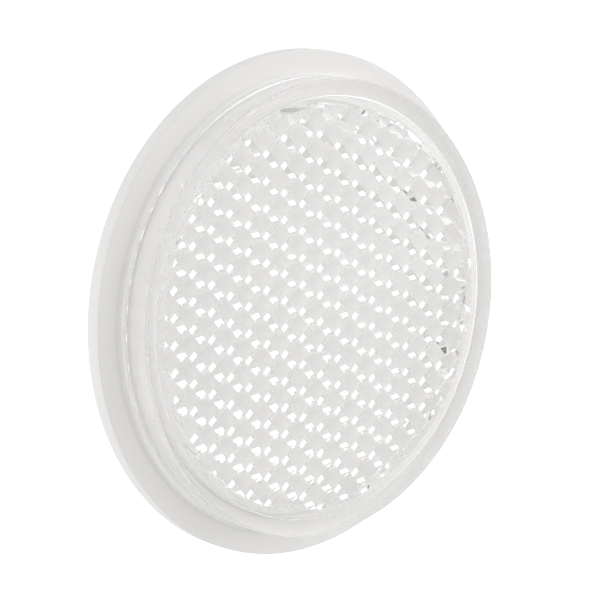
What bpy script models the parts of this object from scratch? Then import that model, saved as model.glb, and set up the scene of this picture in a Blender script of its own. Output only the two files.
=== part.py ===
"""Round clear reflex reflector, modelled with Blender.

A clear moulded lens carries a honeycomb of corner cubes on its inner side. It stands on a white
back plate with a flange, which is stuck to a wall by a round foam pad. The reflector's axis runs
along Y, the lens faces -Y, +Z is up, and y = 0 is the rearmost face, on the wall.
"""

import math

import bmesh
import bpy

MM = 0.001

# Clearances between pieces
SEAT_GAP = 0.3 * MM            # between two faces that rest on each other
RING_CLEARANCE = 0.3 * MM      # locating ring to the inside of the lens skirt

# Lens
LENS_RADIUS = 37.9 * MM
LENS_ROUNDING = 0.5 * MM
SKIRT_WALL = 2.8 * MM
CHANNEL_WIDTH = 1.6 * MM       # open channel between the skirt and the prism block
CHANNEL_ROUNDING = 0.3 * MM
RIM_PLATE = 1.5 * MM           # thickness of the front over the channel
PRISM_COVER = 2.2 * MM         # lens front to the nearest points of the cubes
CUBE_PITCH = 4.43 * MM         # from one corner cube to the next
CUBE_SHIFT_X = -1.77 * MM      # the honeycomb isn't centred on the lens
CUBE_SHIFT_Z = -0.18 * MM
AIR_GAP = 2.6 * MM             # behind the cubes, so that they reflect

# Back plate
FLANGE_LIP = 4.1 * MM          # how far the flange stands out past the lens
FLANGE_THICKNESS = 2.9 * MM
FLANGE_ROUNDING = 0.3 * MM
FLOOR_RECESS = 1.5 * MM        # dished floor behind the cubes, below the flange's face
LEDGE_INSET = 0.6 * MM         # weld ledge under the skirt, stepped in from its outside
LEDGE_WIDTH = 2.0 * MM
LEDGE_HEIGHT = 0.3 * MM
RING_WIDTH = 0.9 * MM          # locating ring just inside the lens skirt
RING_HEIGHT = 0.8 * MM

# Fixing pad and its release liner
PAD_RIM = 11.0 * MM            # bare rear face between the pad and the flange's edge
PAD_THICKNESS = 1.0 * MM
LINER_OVERHANG = 0.8 * MM
LINER_THICKNESS = 0.2 * MM
TAB_LENGTH = 6.0 * MM          # finger tab beyond the pad
TAB_WIDTH = 13.0 * MM
TAB_ANGLE = math.radians(-52.0)

# Smoothness of the round shapes
TURN_STEPS = 120
ARC_STEPS = 4
TAB_STEPS = 16

# A cube standing on its corner: its edge, and how deep each ring of its corners lies
CUBE_EDGE = CUBE_PITCH / math.sqrt(2)
CORNER_STEP = CUBE_EDGE / math.sqrt(3)
CUBE_DEPTH = 2 * CORNER_STEP
CELL_CORNER = CUBE_PITCH / math.sqrt(3)      # centre of a cell to its six corners

# Radii from the axis
SKIRT_BORE = LENS_RADIUS - SKIRT_WALL
FIELD_RADIUS = SKIRT_BORE - CHANNEL_WIDTH    # round block that carries the corner cubes
RING_RADIUS = SKIRT_BORE - RING_CLEARANCE
LEDGE_RADIUS = LENS_RADIUS - LEDGE_INSET
FLANGE_RADIUS = LENS_RADIUS + FLANGE_LIP
PAD_RADIUS = FLANGE_RADIUS - PAD_RIM
LINER_RADIUS = PAD_RADIUS + LINER_OVERHANG
TAB_REACH = PAD_RADIUS + TAB_LENGTH

# Depths along the axis, measured forward from the wall
PAD_REAR = LINER_THICKNESS + SEAT_GAP
PLATE_REAR = PAD_REAR + PAD_THICKNESS + SEAT_GAP
PLATE_FRONT = PLATE_REAR + FLANGE_THICKNESS
FLOOR_FRONT = PLATE_FRONT - FLOOR_RECESS
LEDGE_FRONT = PLATE_FRONT + LEDGE_HEIGHT
RING_FRONT = PLATE_FRONT + RING_HEIGHT
SKIRT_REAR = LEDGE_FRONT + SEAT_GAP
CUBE_REAR = FLOOR_FRONT + AIR_GAP
CUBE_FRONT = CUBE_REAR + CUBE_DEPTH
LENS_FRONT = CUBE_FRONT + PRISM_COVER
CHANNEL_FLOOR = LENS_FRONT - RIM_PLATE
BLOCK_FRONT = LENS_FRONT - RIM_PLATE / 2     # inside the front plate, where block and plate merge


def clear_scene():
    """Start from an empty scene."""
    for old in list(bpy.data.objects):
        bpy.data.objects.remove(old, do_unlink=True)


def plastic(name, colour, roughness, transmission=0.0, ior=1.49):
    """A Principled material with its colour, roughness and clearness."""
    material = bpy.data.materials.new(name)
    material.use_nodes = True
    shader = material.node_tree.nodes["Principled BSDF"]
    shader.inputs["Base Color"].default_value = (*colour, 1.0)
    shader.inputs["Roughness"].default_value = roughness
    shader.inputs["Metallic"].default_value = 0.0
    shader.inputs["IOR"].default_value = ior
    shader.inputs["Transmission Weight"].default_value = transmission
    return material


def arc(centre_radius, centre_depth, radius, start, end, steps=ARC_STEPS):
    """Points of a rounded corner in the (radius, depth) plane, with angles in degrees."""
    points = []
    for step in range(steps + 1):
        angle = math.radians(start + (end - start) * step / steps)
        across = centre_radius + radius * math.cos(angle)
        depth = centre_depth + radius * math.sin(angle)
        points.append((across, depth))
    return points


def place(radius, depth, angle=0.0):
    """A point from its distance to the axis, its depth from the wall and its turn."""
    return (radius * math.cos(angle), -depth, radius * math.sin(angle))


def new_object(name, bm, material):
    """Close a bmesh into an object with its faces pointing out."""
    bmesh.ops.recalc_face_normals(bm, faces=bm.faces)
    mesh = bpy.data.meshes.new(name)
    bm.to_mesh(mesh)
    bm.free()
    piece = bpy.data.objects.new(name, mesh)
    bpy.context.collection.objects.link(piece)
    if material:
        mesh.materials.append(material)
    return piece


def shade_round(piece):
    """Shade the round faces smooth and keep the edges crisp."""
    piece.data.shade_smooth()
    piece.data.set_sharp_from_angle(angle=math.radians(30.0))


def turned(name, outline, material):
    """A solid of revolution about the Y axis from a closed outline of (radius, depth) points."""
    bm = bmesh.new()
    corners = [bm.verts.new(place(radius, depth)) for radius, depth in outline]
    for first, second in zip(corners, corners[1:] + corners[:1]):
        on_axis = first.co.x == 0.0 and second.co.x == 0.0
        if not on_axis:
            bm.edges.new((first, second))
    bmesh.ops.spin(
        bm,
        geom=bm.verts[:] + bm.edges[:],
        cent=(0.0, 0.0, 0.0),
        axis=(0.0, 1.0, 0.0),
        angle=math.tau,
        steps=TURN_STEPS,
    )
    bmesh.ops.remove_doubles(bm, verts=bm.verts, dist=0.001 * MM)
    return new_object(name, bm, material)


def combine(piece, other, operation):
    """Join or cut a piece with another solid, which stays in the scene as a hidden guide."""
    modifier = piece.modifiers.new(operation.title(), "BOOLEAN")
    modifier.operation = operation
    modifier.solver = "EXACT"
    modifier.object = other
    other.hide_render = True
    other.display_type = "WIRE"


def cell_centres():
    """Centres of the honeycomb cells that reach the prism block."""
    column_step = CUBE_PITCH * math.cos(math.radians(30.0))
    count = math.ceil((FIELD_RADIUS + CUBE_PITCH) / column_step) + 1
    centres = []
    for column in range(-count, count + 1):
        for row in range(-count, count + 1):
            x = CUBE_SHIFT_X + column * column_step
            z = CUBE_SHIFT_Z + (row + 0.5 * (column % 2)) * CUBE_PITCH
            if math.hypot(x, z) < FIELD_RADIUS + CELL_CORNER:
                centres.append((x, z))
    return centres


def cube_field():
    """A slab whose rear is the honeycomb of corner cubes, wider than the prism block.

    The three square faces of a cell meet at its rearmost point. Its six corners alternate
    between one step and two steps nearer the front, and neighbours share them.
    """
    bm = bmesh.new()
    for x, z in cell_centres():
        apex = bm.verts.new((x, -CUBE_REAR, z))
        ring = []
        for corner in range(6):
            angle = math.radians(60.0 * corner)
            depth = CUBE_REAR + CORNER_STEP * (2 - corner % 2)
            ring.append(bm.verts.new((x + CELL_CORNER * math.cos(angle), -depth,
                                      z + CELL_CORNER * math.sin(angle))))
        for face in range(3):
            before = ring[2 * face - 1]
            middle = ring[2 * face]
            after = ring[2 * face + 1]
            bm.faces.new((apex, before, middle, after))
    bmesh.ops.remove_doubles(bm, verts=bm.verts, dist=0.01 * MM)
    rim = [edge for edge in bm.edges if edge.is_boundary]
    walls = bmesh.ops.extrude_edge_only(bm, edges=rim)["geom"]
    front = [item for item in walls if isinstance(item, bmesh.types.BMVert)]
    for vert in front:
        vert.co.y = -BLOCK_FRONT
    front_edges = [edge for edge in bm.edges if edge.is_boundary]
    bmesh.ops.contextual_create(bm, geom=front_edges)
    bmesh.ops.triangulate(bm, faces=bm.faces)
    return new_object("cube_slab", bm, None)


def make_lens():
    """The clear lens: front plate, skirt, channel and the round block of corner cubes."""
    clear = plastic("clear_acrylic", (0.96, 0.97, 0.97), 0.02, transmission=1.0)
    corner = LENS_RADIUS - LENS_ROUNDING
    inner = SKIRT_BORE - CHANNEL_ROUNDING
    shell = [(0.0, LENS_FRONT)]
    shell += arc(corner, LENS_FRONT - LENS_ROUNDING, LENS_ROUNDING, 90.0, 0.0)
    shell += [(LENS_RADIUS, SKIRT_REAR), (SKIRT_BORE, SKIRT_REAR)]
    shell += arc(inner, CHANNEL_FLOOR - CHANNEL_ROUNDING, CHANNEL_ROUNDING, 0.0, 90.0)
    shell += [(0.0, CHANNEL_FLOOR)]
    lens = turned("reflex_lens", shell, clear)

    deep = CUBE_REAR - CORNER_STEP
    round_block = [(0.0, LENS_FRONT), (FIELD_RADIUS, LENS_FRONT), (FIELD_RADIUS, deep), (0.0, deep)]
    cutter = turned("block_cutter", round_block, None)
    slab = cube_field()
    combine(slab, cutter, "INTERSECT")
    combine(lens, slab, "UNION")
    shade_round(lens)
    return lens


def make_back_plate():
    """The white back plate: dished floor, locating ring, weld ledge and flange."""
    white = plastic("white_plastic", (0.86, 0.86, 0.85), 0.45)
    edge = FLANGE_RADIUS - FLANGE_ROUNDING
    outline = [(0.0, FLOOR_FRONT), (RING_RADIUS - RING_WIDTH, FLOOR_FRONT)]
    outline += [(RING_RADIUS - RING_WIDTH, RING_FRONT), (RING_RADIUS, RING_FRONT)]
    outline += [(RING_RADIUS, PLATE_FRONT)]
    outline += [(LEDGE_RADIUS - LEDGE_WIDTH, PLATE_FRONT), (LEDGE_RADIUS - LEDGE_WIDTH, LEDGE_FRONT)]
    outline += [(LEDGE_RADIUS, LEDGE_FRONT), (LEDGE_RADIUS, PLATE_FRONT)]
    outline += arc(edge, PLATE_FRONT - FLANGE_ROUNDING, FLANGE_ROUNDING, 90.0, 0.0)
    outline += arc(edge, PLATE_REAR + FLANGE_ROUNDING, FLANGE_ROUNDING, 0.0, -90.0)
    outline += [(0.0, PLATE_REAR)]
    plate = turned("back_plate", outline, white)
    shade_round(plate)
    return plate


def make_pad():
    """The double-sided foam pad on the back plate's rear face."""
    foam = plastic("foam", (0.80, 0.80, 0.78), 0.9)
    front = PAD_REAR + PAD_THICKNESS
    outline = [(0.0, front), (PAD_RADIUS, front), (PAD_RADIUS, PAD_REAR), (0.0, PAD_REAR)]
    pad = turned("foam_pad", outline, foam)
    shade_round(pad)
    return pad


def liner_outline():
    """The liner's edge as (x, z) points: a round disc with a finger tab that has a round end."""
    half = TAB_WIDTH / 2
    foot = math.asin(half / LINER_RADIUS)
    points = []
    for step in range(TURN_STEPS + 1):
        angle = foot + (math.tau - 2 * foot) * step / TURN_STEPS
        points.append((LINER_RADIUS * math.cos(angle), LINER_RADIUS * math.sin(angle)))
    for step in range(TAB_STEPS + 1):
        angle = math.pi * (step / TAB_STEPS - 0.5)
        points.append((TAB_REACH - half + half * math.cos(angle), half * math.sin(angle)))
    return points


def make_liner():
    """The paper release liner on the pad's rear face."""
    paper = plastic("liner_paper", (0.88, 0.86, 0.78), 0.55)
    bm = bmesh.new()
    edge = []
    for along, across in liner_outline():
        x = along * math.cos(TAB_ANGLE) - across * math.sin(TAB_ANGLE)
        z = along * math.sin(TAB_ANGLE) + across * math.cos(TAB_ANGLE)
        edge.append(bm.verts.new((x, 0.0, z)))
    sheet = bm.faces.new(edge)
    front = bmesh.ops.extrude_face_region(bm, geom=[sheet])["geom"]
    for item in front:
        if isinstance(item, bmesh.types.BMVert):
            item.co.y = -LINER_THICKNESS
    return new_object("release_liner", bm, paper)


def main():
    """Build the reflector from front to back."""
    clear_scene()
    make_lens()
    make_back_plate()
    make_pad()
    make_liner()


main()
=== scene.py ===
import math

import bmesh
import bpy
from mathutils import Matrix, Vector, noise


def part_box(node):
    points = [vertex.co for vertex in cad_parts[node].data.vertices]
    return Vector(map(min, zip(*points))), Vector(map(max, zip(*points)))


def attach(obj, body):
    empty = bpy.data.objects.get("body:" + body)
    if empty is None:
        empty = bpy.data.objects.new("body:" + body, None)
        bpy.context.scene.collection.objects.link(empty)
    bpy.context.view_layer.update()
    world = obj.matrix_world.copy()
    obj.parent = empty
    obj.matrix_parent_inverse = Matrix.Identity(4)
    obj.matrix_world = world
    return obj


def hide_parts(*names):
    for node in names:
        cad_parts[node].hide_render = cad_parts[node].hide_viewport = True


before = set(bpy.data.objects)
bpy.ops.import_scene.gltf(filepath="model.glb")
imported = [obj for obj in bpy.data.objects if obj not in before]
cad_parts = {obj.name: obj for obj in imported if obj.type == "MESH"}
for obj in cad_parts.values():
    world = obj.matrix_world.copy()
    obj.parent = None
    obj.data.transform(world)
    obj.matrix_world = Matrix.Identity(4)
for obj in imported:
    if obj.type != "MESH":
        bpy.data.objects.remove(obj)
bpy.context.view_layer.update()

MM = 0.001

# ---------------------------------------------------------------- sizes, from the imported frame
LENS_LOW, LENS_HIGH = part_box("reflex_lens")
PLATE_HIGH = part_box("back_plate")[1]
PAD_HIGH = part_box("foam_pad")[1]
LINER_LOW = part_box("release_liner")[0]

LENS_RADIUS = LENS_HIGH[0]
LENS_FRONT = -LENS_LOW[1]
FLANGE_RADIUS = PLATE_HIGH[0]
PLATE_REAR = -PLATE_HIGH[1]
PAD_RADIUS = PAD_HIGH[0]
PAD_REAR = -PAD_HIGH[1]
LINER_THICKNESS = -LINER_LOW[1]

# ---------------------------------------------------------------- sizes that the design shares

# Lens
SKIRT_WALL = 2.8 * MM
CHANNEL_WIDTH = 1.6 * MM        # open channel between the skirt and the prisms
RIM_PLATE = 1.5 * MM            # thickness over the channel
PRISM_COVER = 2.2 * MM          # solid thickness over the prisms
CUBE_PITCH = 4.43 * MM          # across a honeycomb cell's flats
CUBE_SHIFT_X = -1.77 * MM
CUBE_SHIFT_Z = -0.18 * MM

# Back plate
FLANGE_THICKNESS = 2.9 * MM
FLOOR_RECESS = 1.5 * MM
RING_CLEARANCE = 0.3 * MM
RING_WIDTH = 0.9 * MM
RING_HEIGHT = 0.8 * MM
LEDGE_INSET = 0.6 * MM
LEDGE_WIDTH = 2.0 * MM
LEDGE_HEIGHT = 0.3 * MM

# Release liner
LINER_OVERHANG = 0.8 * MM
TAB_LENGTH = 6.0 * MM
TAB_WIDTH = 13.0 * MM
TAB_ANGLE = math.radians(-52.0)

# ---------------------------------------------------------------- sizes of the finish

TURN_STEPS = 240
ROUND_STEPS = 8
SEAM_MERGE = 0.001 * MM
CONTACT_GAP = 0.02 * MM
SHARP_ANGLE = 25.0              # degrees between faces from which an edge is shaded crisp
FOAM_SHARP_ANGLE = 50.0
TINT_FROM = 0.3
TINT_FULL = 0.7

LENS_ROUNDING = 0.45 * MM
CHANNEL_ROUNDING = 0.35 * MM
SKIRT_CHAMFER = 0.25 * MM
WALL_BAND = 0.1 * MM            # faces this close to the lens's radius are its outer wall
CUBE_MERGE = 0.01 * MM

FLANGE_ROUNDING = 0.3 * MM
FLOOR_FILLET = 0.4 * MM
RING_ROUNDING = 0.15 * MM
WELD_LIP = 0.38 * MM
REAR_GROOVE_RADIUS = 33.6 * MM
REAR_GROOVE = 0.25 * MM
EJECTOR_MARKS = 6
MARK_CIRCLE = 37.6 * MM
MARK_RADIUS = 1.8 * MM
MARK_DEPTH = 0.12 * MM
MARK_STEPS = 48

PAD_BEHIND = 0.28 * MM          # how far the foam reaches behind its CAD solid, towards the liner
PAD_ROUNDING = 0.12 * MM
PAD_RINGS = 12
EDGE_ROWS = (3 / 8, 4 / 8, 5 / 8)       # rows of vertices in the cut edge, as shares of its height
CUT_GRAIN = 1.1 * MM
CUT_DEPTH = 0.35 * MM

LINER_STEPS = 200
LINER_SLICES = 24
TAB_STEPS = 24
TAB_BEND_FROM = 2.0 * MM
TAB_BEND_WIDTH = 0.75           # half-width of the bend, as a share of the tab's width
TAB_LIFT = 2.2 * MM
SPLIT_STEPS = 60
SPLIT_REACH = 1.2               # half-length of the split's cutter, as a share of the liner's radius
SPLIT_WAVE = 1.6 * MM
SPLIT_TURNS = 1.5
SPLIT_GAP = 0.15 * MM
SPLIT_DEPTH = 1.0 * MM

# ---------------------------------------------------------------- sizes worked out from those above

PLATE_FRONT = PLATE_REAR + FLANGE_THICKNESS
FLOOR_FRONT = PLATE_FRONT - FLOOR_RECESS
LEDGE_FRONT = PLATE_FRONT + LEDGE_HEIGHT
RING_FRONT = PLATE_FRONT + RING_HEIGHT
LEDGE_RADIUS = LENS_RADIUS - LEDGE_INSET
SKIRT_BORE = LENS_RADIUS - SKIRT_WALL
RING_RADIUS = SKIRT_BORE - RING_CLEARANCE
FIELD_RADIUS = SKIRT_BORE - CHANNEL_WIDTH
CHANNEL_FLOOR = LENS_FRONT - RIM_PLATE
BLOCK_FRONT = LENS_FRONT - RIM_PLATE / 2
CORNER_STEP = CUBE_PITCH / math.sqrt(6)
CELL_CORNER = CUBE_PITCH / math.sqrt(3)
CUBE_REAR = LENS_FRONT - PRISM_COVER - 2 * CORNER_STEP
LINER_RADIUS = PAD_RADIUS + LINER_OVERHANG

# ---------------------------------------------------------------- camera and studio values

# Angles in degrees; the aim is measured to the right and up, as the camera sees it
VIEW_AZIMUTH = -41.37
VIEW_ELEVATION = 10.66
VIEW_DISTANCE = 504.0 * MM
AIM_RIGHT = 1.911 * MM
AIM_UP = 0.268 * MM
LENS_FOCAL = 182.6
SENSOR = 36.0
CLIP_START = 10.0 * MM

# Each soft light: azimuth and elevation of its middle, its spread (all in degrees) and its
# strength; a negative strength takes light away
SOFT_LIGHTS = (
    (170, 5, 70, 0.25),         # the lit backdrop
    (-115, 25, 68, 0.7),        # the left wall
    (60, 15, 60, 0.85),         # the large light at the right
    (5, 30, 40, 0.75),          # the light in front, over the lens
    (85, 42, 35, 0.6),          # a high light at the right
    (32, 12, 20, 0.3),          # the bright middle of the right-hand light
    (-25, -5, 26, -0.345),      # the dark room beside and below the camera
)
AMBIENT = 0.395
STUDIO_WHITE = (1.0, 0.995, 0.99, 1.0)

# The floor's sizes in metres; it starts to glow behind the reflector
FLOOR_WIDTH = 6.0
FLOOR_BEHIND = 3.0
FLOOR_BEFORE = 0.42
FLOOR_DROP = 60.0 * MM
FLOOR_SQUARES = 24
FLOOR_COLOUR = (0.86, 0.86, 0.855, 1.0)
FLOOR_GLOW = 0.55
GLOW_FROM = 30.0 * MM
GLOW_FULL = 120.0 * MM

LIGHT_BOUNCES = 64
SURFACE_BOUNCES = 24


def towards(azimuth, elevation):
    """Unit vector at an azimuth, turned right from straight in front, and an elevation in degrees."""
    turn = math.radians(azimuth)
    rise = math.radians(elevation)
    flat = math.cos(rise)
    return Vector((math.sin(turn) * flat, -math.cos(turn) * flat, math.sin(rise)))


def add_camera():
    """The camera looks down the view direction at a point beside the plate's rear centre."""
    outward = towards(VIEW_AZIMUTH, VIEW_ELEVATION)
    right = towards(VIEW_AZIMUTH + 90.0, 0.0)
    up = right.cross(-outward)
    aim = Vector((0.0, -PLATE_REAR, 0.0)) + right * AIM_RIGHT + up * AIM_UP
    data = bpy.data.cameras.new("camera")
    data.lens = LENS_FOCAL
    data.sensor_width = SENSOR
    data.clip_start = CLIP_START
    camera = bpy.data.objects.new("camera", data)
    camera.location = aim + outward * VIEW_DISTANCE
    camera.rotation_euler = (-outward).to_track_quat("-Z", "Y").to_euler()
    bpy.context.scene.collection.objects.link(camera)
    bpy.context.scene.camera = camera


# ---------------------------------------------------------------- materials


def material(name, **values):
    """A Principled material and its node tree; values set the shader's own sockets."""
    made = bpy.data.materials.new(name)
    made.use_nodes = True
    shader = made.node_tree.nodes["Principled BSDF"]
    for socket, value in values.items():
        shader.inputs[socket.replace("_", " ")].default_value = value
    return made, made.node_tree, shader


def node(tree, kind, **settings):
    """One node; settings are its properties."""
    made = tree.nodes.new(kind)
    for name, value in settings.items():
        setattr(made, name, value)
    return made


def noise_node(tree, scale, detail, stretch=(1.0, 1.0, 1.0)):
    """Noise in the piece's own coordinates; scale is in cycles per metre."""
    place = node(tree, "ShaderNodeTexCoord")
    squeeze = node(tree, "ShaderNodeMapping")
    squeeze.inputs["Scale"].default_value = stretch
    texture = node(tree, "ShaderNodeTexNoise")
    texture.inputs["Scale"].default_value = scale
    texture.inputs["Detail"].default_value = detail
    tree.links.new(place.outputs["Object"], squeeze.inputs["Vector"])
    tree.links.new(squeeze.outputs["Vector"], texture.inputs["Vector"])
    return texture


def add_bump(tree, shader, texture, strength, distance):
    """Bump from a texture into the shader's normal."""
    bump = node(tree, "ShaderNodeBump")
    bump.inputs["Strength"].default_value = strength
    bump.inputs["Distance"].default_value = distance
    tree.links.new(texture.outputs["Fac"], bump.inputs["Height"])
    tree.links.new(bump.outputs["Normal"], shader.inputs["Normal"])


def add_tint(tree, shader, texture, low, high):
    """Vary the base colour between two colours with a texture."""
    ramp = node(tree, "ShaderNodeValToRGB")
    ends = ramp.color_ramp.elements
    ends[0].position = TINT_FROM
    ends[1].position = TINT_FULL
    ends[0].color = (*low, 1.0)
    ends[1].color = (*high, 1.0)
    tree.links.new(texture.outputs["Fac"], ramp.inputs["Fac"])
    tree.links.new(ramp.outputs["Color"], shader.inputs["Base Color"])


def clear_acrylic():
    """The lens: clear, polished, with a very faint moulding ripple."""
    made, tree, shader = material("clear_acrylic", Base_Color=(1.0, 1.0, 1.0, 1.0), Roughness=0.0,
                                  IOR=1.49, Transmission_Weight=1.0)
    ripple = noise_node(tree, scale=160.0, detail=2.0)
    add_bump(tree, shader, ripple, strength=0.03, distance=0.1 * MM)
    return made


def satin_acrylic():
    """The lens's outer wall: the same acrylic with the mould's finely blasted finish."""
    made, tree, shader = material("satin_acrylic", Base_Color=(1.0, 1.0, 1.0, 1.0), Roughness=0.16,
                                  IOR=1.49, Transmission_Weight=1.0)
    streak = noise_node(tree, scale=420.0, detail=3.0, stretch=(1.0, 0.25, 1.0))
    add_bump(tree, shader, streak, strength=0.08, distance=0.1 * MM)
    return made


def white_plastic():
    """The back plate: matte white with a fine moulded grain."""
    made, tree, shader = material("white_plastic", Roughness=0.5)
    cloud = noise_node(tree, scale=60.0, detail=2.0)
    add_tint(tree, shader, cloud, low=(0.908, 0.902, 0.897), high=(0.932, 0.926, 0.922))
    grain = noise_node(tree, scale=5000.0, detail=4.0)
    add_bump(tree, shader, grain, strength=0.12, distance=0.03 * MM)
    return made


def foam():
    """The pad: off-white closed-cell foam."""
    made, tree, shader = material("foam", Roughness=0.92)
    pores = noise_node(tree, scale=2600.0, detail=5.0)
    add_tint(tree, shader, pores, low=(0.62, 0.62, 0.6), high=(0.84, 0.84, 0.82))
    add_bump(tree, shader, pores, strength=0.6, distance=0.15 * MM)
    return made


def liner_paper():
    """The liner: satin release paper with a faint fibre."""
    made, tree, shader = material("liner_paper", Roughness=0.4)
    fibre = noise_node(tree, scale=300.0, detail=5.0, stretch=(1.0, 1.0, 3.0))
    add_tint(tree, shader, fibre, low=(0.74, 0.725, 0.68), high=(0.79, 0.775, 0.735))
    add_bump(tree, shader, fibre, strength=0.1, distance=0.02 * MM)
    return made


def paint(piece, made):
    """Give a piece one material."""
    piece.data.materials.clear()
    piece.data.materials.append(made)


# ---------------------------------------------------------------- shapes


def arc(centre_radius, centre_depth, radius, start, end):
    """Points of a rounded corner in the (radius, depth) plane, with angles in degrees."""
    points = []
    for step in range(ROUND_STEPS + 1):
        angle = math.radians(start + (end - start) * step / ROUND_STEPS)
        points.append((centre_radius + radius * math.cos(angle),
                       centre_depth + radius * math.sin(angle)))
    return points


def new_object(name, bm):
    """Close a bmesh into an object with its faces pointing out."""
    bmesh.ops.recalc_face_normals(bm, faces=bm.faces)
    mesh = bpy.data.meshes.new(name)
    bm.to_mesh(mesh)
    bm.free()
    piece = bpy.data.objects.new(name, mesh)
    bpy.context.scene.collection.objects.link(piece)
    return piece


def turned(name, outline, steps=TURN_STEPS):
    """A solid of revolution about the Y axis from a closed outline of (radius, depth) points."""
    bm = bmesh.new()
    corners = [bm.verts.new((radius, -depth, 0.0)) for radius, depth in outline]
    for first, second in zip(corners, corners[1:] + corners[:1]):
        if first.co.x != 0.0 or second.co.x != 0.0:
            bm.edges.new((first, second))
    bmesh.ops.spin(bm, geom=bm.verts[:] + bm.edges[:], cent=(0.0, 0.0, 0.0),
                   axis=(0.0, 1.0, 0.0), angle=math.tau, steps=steps)
    bmesh.ops.remove_doubles(bm, verts=bm.verts, dist=SEAM_MERGE)
    return new_object(name, bm)


def combine(piece, other, operation):
    """Apply a Boolean of a piece with another solid, and remove the other."""
    modifier = piece.modifiers.new(operation.title(), "BOOLEAN")
    modifier.operation = operation
    modifier.solver = "EXACT"
    modifier.object = other
    view = bpy.context.evaluated_depsgraph_get()
    mesh = bpy.data.meshes.new_from_object(piece.evaluated_get(view))
    piece.modifiers.clear()
    piece.data = mesh
    bpy.data.objects.remove(other, do_unlink=True)


def shade_round(piece, angle=SHARP_ANGLE):
    """Shade the round faces smooth and keep the edges crisp."""
    piece.data.shade_smooth()
    piece.data.set_sharp_from_angle(angle=math.radians(angle))


# ---------------------------------------------------------------- the lens


def cell_centres():
    """Centres of the honeycomb cells that reach the prism block."""
    column_step = CUBE_PITCH * math.cos(math.radians(30.0))
    count = math.ceil((FIELD_RADIUS + CUBE_PITCH) / column_step) + 1
    centres = []
    for column in range(-count, count + 1):
        for row in range(-count, count + 1):
            x = CUBE_SHIFT_X + column * column_step
            z = CUBE_SHIFT_Z + (row + 0.5 * (column % 2)) * CUBE_PITCH
            if math.hypot(x, z) < FIELD_RADIUS + CELL_CORNER:
                centres.append((x, z))
    return centres


def cube_field():
    """A slab whose rear is the honeycomb of corner cubes, wider than the prism block."""
    bm = bmesh.new()
    for x, z in cell_centres():
        apex = bm.verts.new((x, -CUBE_REAR, z))
        ring = []
        for corner in range(6):
            angle = math.radians(60.0 * corner)
            depth = CUBE_REAR + CORNER_STEP * (2 - corner % 2)
            ring.append(bm.verts.new((x + CELL_CORNER * math.cos(angle), -depth,
                                      z + CELL_CORNER * math.sin(angle))))
        for face in range(3):
            bm.faces.new((apex, ring[2 * face - 1], ring[2 * face], ring[2 * face + 1]))
    bmesh.ops.remove_doubles(bm, verts=bm.verts, dist=CUBE_MERGE)
    rim = [edge for edge in bm.edges if edge.is_boundary]
    walls = bmesh.ops.extrude_edge_only(bm, edges=rim)["geom"]
    for item in walls:
        if isinstance(item, bmesh.types.BMVert):
            item.co.y = -BLOCK_FRONT
    bmesh.ops.contextual_create(bm, geom=[edge for edge in bm.edges if edge.is_boundary])
    bmesh.ops.triangulate(bm, faces=bm.faces)
    return new_object("cube_slab", bm)


def prism_block():
    """The cube slab cut down to the round block inside the channel."""
    block = cube_field()
    deep = CUBE_REAR - CORNER_STEP
    cutter = turned("block_cutter", [(0.0, LENS_FRONT), (FIELD_RADIUS, LENS_FRONT),
                                     (FIELD_RADIUS, deep), (0.0, deep)])
    combine(block, cutter, "INTERSECT")
    return block


def make_lens():
    """The clear lens: front plate, skirt, channel and the round block of corner cubes."""
    skirt_rear = LEDGE_FRONT + CONTACT_GAP
    corner = LENS_RADIUS - LENS_ROUNDING
    shell = [(0.0, LENS_FRONT)]
    shell += arc(corner, LENS_FRONT - LENS_ROUNDING, LENS_ROUNDING, 90.0, 0.0)
    shell += [(LENS_RADIUS, skirt_rear + SKIRT_CHAMFER), (LENS_RADIUS - SKIRT_CHAMFER, skirt_rear)]
    shell += [(SKIRT_BORE, skirt_rear)]
    shell += arc(SKIRT_BORE - CHANNEL_ROUNDING, CHANNEL_FLOOR - CHANNEL_ROUNDING,
                 CHANNEL_ROUNDING, 0.0, 90.0)
    shell += [(0.0, CHANNEL_FLOOR)]
    lens = turned("clear_lens", shell)
    combine(lens, prism_block(), "UNION")
    shade_round(lens)
    paint(lens, clear_acrylic())
    lens.data.materials.append(satin_acrylic())
    for face in lens.data.polygons:
        if math.hypot(face.center.x, face.center.z) > LENS_RADIUS - WALL_BAND:
            face.material_index = 1
    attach(lens, "root")
    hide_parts("reflex_lens")


# ---------------------------------------------------------------- the back plate


def ejector_pin(angle):
    """The end of a mould's ejector pin, which leaves a shallow round mark in the plate's rear."""
    outline = [(0.0, MARK_DEPTH), (MARK_RADIUS, MARK_DEPTH), (MARK_RADIUS, -MARK_DEPTH), (0.0, -MARK_DEPTH)]
    pin = turned("pin", outline, MARK_STEPS)
    pin.data.transform(Matrix.Translation((MARK_CIRCLE * math.cos(angle), -PLATE_REAR,
                                           MARK_CIRCLE * math.sin(angle))))
    return pin


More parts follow.
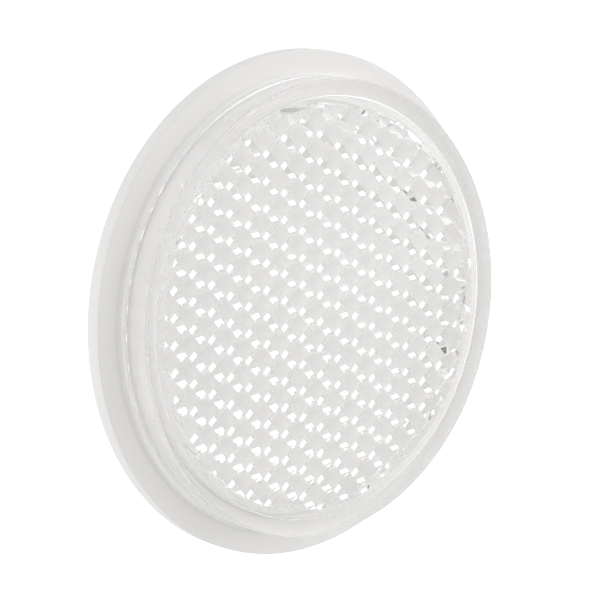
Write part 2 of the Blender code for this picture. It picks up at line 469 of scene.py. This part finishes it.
def make_back_plate():
    """The white back plate: dished floor, locating ring, weld ledge, flange and moulding marks."""
    edge = FLANGE_RADIUS - FLANGE_ROUNDING
    ring_bore = RING_RADIUS - RING_WIDTH
    outline = [(0.0, FLOOR_FRONT)]
    outline += arc(ring_bore - FLOOR_FILLET, FLOOR_FRONT + FLOOR_FILLET, FLOOR_FILLET, -90.0, 0.0)
    outline += arc(ring_bore + RING_ROUNDING, RING_FRONT - RING_ROUNDING, RING_ROUNDING, 180.0, 90.0)
    outline += arc(RING_RADIUS - RING_ROUNDING, RING_FRONT - RING_ROUNDING, RING_ROUNDING, 90.0, 0.0)
    outline += [(RING_RADIUS, PLATE_FRONT)]
    outline += [(LEDGE_RADIUS - LEDGE_WIDTH, PLATE_FRONT), (LEDGE_RADIUS - LEDGE_WIDTH, LEDGE_FRONT)]
    outline += arc(LENS_RADIUS, PLATE_FRONT + WELD_LIP, WELD_LIP - CONTACT_GAP, 90.0, 0.0)
    outline += [(LENS_RADIUS + WELD_LIP, PLATE_FRONT)]
    outline += arc(edge, PLATE_FRONT - FLANGE_ROUNDING, FLANGE_ROUNDING, 90.0, 0.0)
    outline += arc(edge, PLATE_REAR + FLANGE_ROUNDING, FLANGE_ROUNDING, 0.0, -90.0)
    outline += [(REAR_GROOVE_RADIUS + REAR_GROOVE, PLATE_REAR)]
    outline += [(REAR_GROOVE_RADIUS, PLATE_REAR + REAR_GROOVE)]
    outline += [(REAR_GROOVE_RADIUS - REAR_GROOVE, PLATE_REAR), (0.0, PLATE_REAR)]
    plate = turned("white_back", outline)
    for mark in range(EJECTOR_MARKS):
        combine(plate, ejector_pin(math.tau * (mark + 0.5) / EJECTOR_MARKS), "DIFFERENCE")
    shade_round(plate)
    paint(plate, white_plastic())
    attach(plate, "root")
    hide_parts("back_plate")


# ---------------------------------------------------------------- the pad and its liner


def make_pad():
    """The foam pad, from the liner to the plate, with a rough cut edge."""
    rear = PAD_REAR - PAD_BEHIND
    front = PLATE_REAR - CONTACT_GAP
    outline = [(PAD_RADIUS * ring / PAD_RINGS, rear) for ring in range(PAD_RINGS)]
    outline += arc(PAD_RADIUS - PAD_ROUNDING, rear + PAD_ROUNDING, PAD_ROUNDING, -90.0, 0.0)
    outline += [(PAD_RADIUS, rear + (front - rear) * share) for share in EDGE_ROWS]
    outline += arc(PAD_RADIUS - PAD_ROUNDING, front - PAD_ROUNDING, PAD_ROUNDING, 0.0, 90.0)
    outline += [(0.0, front)]
    pad = turned("foam_backing", outline)
    for vertex in pad.data.vertices:
        place = vertex.co
        radius = math.hypot(place.x, place.z)
        if radius > PAD_RADIUS - PAD_ROUNDING:
            rough = noise.noise(place / CUT_GRAIN) - 0.5
            place.x *= 1.0 + CUT_DEPTH * rough / radius
            place.z *= 1.0 + CUT_DEPTH * rough / radius
    shade_round(pad, FOAM_SHARP_ANGLE)
    paint(pad, foam())
    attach(pad, "root")
    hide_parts("foam_pad")


def liner_edge():
    """Outline of the release liner in (x, z): a disc with a rounded pull tab."""
    points = []
    half = math.asin(TAB_WIDTH / 2 / LINER_RADIUS)
    for step in range(LINER_STEPS):
        angle = TAB_ANGLE + half + (math.tau - 2 * half) * step / (LINER_STEPS - 1)
        points.append((LINER_RADIUS * math.cos(angle), LINER_RADIUS * math.sin(angle)))
    along = (math.cos(TAB_ANGLE), math.sin(TAB_ANGLE))
    across = (-along[1], along[0])
    middle = LINER_RADIUS + TAB_LENGTH - TAB_WIDTH / 2
    for step in range(1, TAB_STEPS):
        angle = math.radians(-90.0 + 180.0 * step / TAB_STEPS)
        out = middle + TAB_WIDTH / 2 * math.cos(angle)
        side = TAB_WIDTH / 2 * math.sin(angle)
        points.append((along[0] * out + across[0] * side, along[1] * out + across[1] * side))
    return points


def liner_sheet(along):
    """The liner as a thin flat solid, with rows of vertices across the tab's direction."""
    bm = bmesh.new()
    bm.faces.new([bm.verts.new((x, 0.0, z)) for x, z in liner_edge()])
    for row in range(-LINER_SLICES, LINER_SLICES + 1):
        geom = bm.verts[:] + bm.edges[:] + bm.faces[:]
        place = along * (row * (LINER_RADIUS + TAB_LENGTH) / LINER_SLICES)
        bmesh.ops.bisect_plane(bm, geom=geom, plane_co=place, plane_no=along)
    bmesh.ops.triangulate(bm, faces=bm.faces)
    shell = bmesh.ops.extrude_face_region(bm, geom=bm.faces[:])["geom"]
    for item in shell:
        if isinstance(item, bmesh.types.BMVert):
            item.co.y = -LINER_THICKNESS
    return new_object("liner_sheet", bm)


def split_knife():
    """A thin wavy blade down the middle, which cuts the liner in two."""
    bm = bmesh.new()
    half = SPLIT_GAP / 2
    section = ((-half, -SPLIT_DEPTH), (half, -SPLIT_DEPTH), (half, SPLIT_DEPTH), (-half, SPLIT_DEPTH))
    rows = []
    for step in range(SPLIT_STEPS + 1):
        z = SPLIT_REACH * LINER_RADIUS * (2 * step / SPLIT_STEPS - 1)
        x = SPLIT_WAVE * math.sin(z * SPLIT_TURNS * math.tau / LINER_RADIUS)
        rows.append([bm.verts.new((x + side, y, z)) for side, y in section])
    for first, second in zip(rows, rows[1:]):
        for corner in range(4):
            after = (corner + 1) % 4
            bm.faces.new((first[corner], first[after], second[after], second[corner]))
    bm.faces.new(rows[0])
    bm.faces.new(rows[-1])
    return new_object("knife", bm)


def make_liner():
    """The release liner: thin satin paper, split in two, with its tab lifted a little."""
    along = Vector((math.cos(TAB_ANGLE), 0.0, math.sin(TAB_ANGLE)))
    liner = liner_sheet(along)
    combine(liner, split_knife(), "DIFFERENCE")
    for vertex in liner.data.vertices:
        reach = vertex.co.dot(along)
        beyond = reach - (LINER_RADIUS - TAB_BEND_FROM)
        aside = (vertex.co - along * reach).length
        if beyond > 0.0 and aside < TAB_WIDTH * TAB_BEND_WIDTH:
            vertex.co.y += TAB_LIFT * (beyond / (TAB_LENGTH + TAB_BEND_FROM)) ** 2
    shade_round(liner)
    paint(liner, liner_paper())
    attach(liner, "root")
    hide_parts("release_liner")


# ---------------------------------------------------------------- light and floor


def add_world():
    """A white studio: even light all round, and broad soft lights that fade out at their edges."""
    world = bpy.data.worlds.new("studio")
    bpy.context.scene.world = world
    world.use_nodes = True
    tree = world.node_tree
    sky = tree.nodes["Background"]
    place = node(tree, "ShaderNodeTexCoord")
    total = None
    for azimuth, elevation, spread, strength in SOFT_LIGHTS:
        facing = node(tree, "ShaderNodeVectorMath", operation="DOT_PRODUCT")
        facing.inputs[1].default_value = towards(azimuth, elevation)
        tree.links.new(place.outputs["Generated"], facing.inputs[0])
        fade = node(tree, "ShaderNodeMapRange", interpolation_type="SMOOTHSTEP")
        fade.inputs["From Min"].default_value = math.cos(math.radians(spread))
        fade.inputs["To Max"].default_value = strength
        tree.links.new(facing.outputs["Value"], fade.inputs["Value"])
        together = node(tree, "ShaderNodeMath", operation="ADD")
        if total:
            tree.links.new(total.outputs["Value"], together.inputs[1])
        else:
            together.inputs[1].default_value = AMBIENT
        tree.links.new(fade.outputs["Result"], together.inputs[0])
        total = together
    sky.inputs["Color"].default_value = STUDIO_WHITE
    tree.links.new(total.outputs["Value"], sky.inputs["Strength"])


def add_floor():
    """A pale floor below the reflector, bright like a lit sweep behind it."""
    bm = bmesh.new()
    bmesh.ops.create_grid(bm, x_segments=FLOOR_SQUARES, y_segments=FLOOR_SQUARES, size=0.5)
    for vertex in bm.verts:
        vertex.co.x *= FLOOR_WIDTH
        vertex.co.y = (vertex.co.y + 0.5) * (FLOOR_BEHIND + FLOOR_BEFORE) - FLOOR_BEFORE
    floor = new_object("floor", bm)
    floor.location.z = -FLANGE_RADIUS - FLOOR_DROP
    made, tree, shader = material("pale_floor", Base_Color=FLOOR_COLOUR, Roughness=0.8)
    shader.inputs["Emission Color"].default_value = STUDIO_WHITE
    place = node(tree, "ShaderNodeTexCoord")
    split = node(tree, "ShaderNodeSeparateXYZ")
    fade = node(tree, "ShaderNodeMapRange", interpolation_type="SMOOTHSTEP")
    fade.inputs["From Min"].default_value = GLOW_FROM
    fade.inputs["From Max"].default_value = GLOW_FULL
    fade.inputs["To Max"].default_value = FLOOR_GLOW
    tree.links.new(place.outputs["Object"], split.inputs["Vector"])
    tree.links.new(split.outputs["Y"], fade.inputs["Value"])
    tree.links.new(fade.outputs["Result"], shader.inputs["Emission Strength"])
    paint(floor, made)


def set_light_paths():
    """Enough bounces for light to leave the prisms again."""
    paths = bpy.context.scene.cycles
    paths.max_bounces = LIGHT_BOUNCES
    paths.transmission_bounces = LIGHT_BOUNCES
    paths.glossy_bounces = SURFACE_BOUNCES
    paths.diffuse_bounces = SURFACE_BOUNCES
    paths.blur_glossy = 0.0


def main():
    """Build the pieces, then the studio."""
    add_camera()
    make_lens()
    make_back_plate()
    make_pad()
    make_liner()
    add_world()
    add_floor()
    set_light_paths()
    bpy.context.scene.view_settings.view_transform = "Standard"


main()
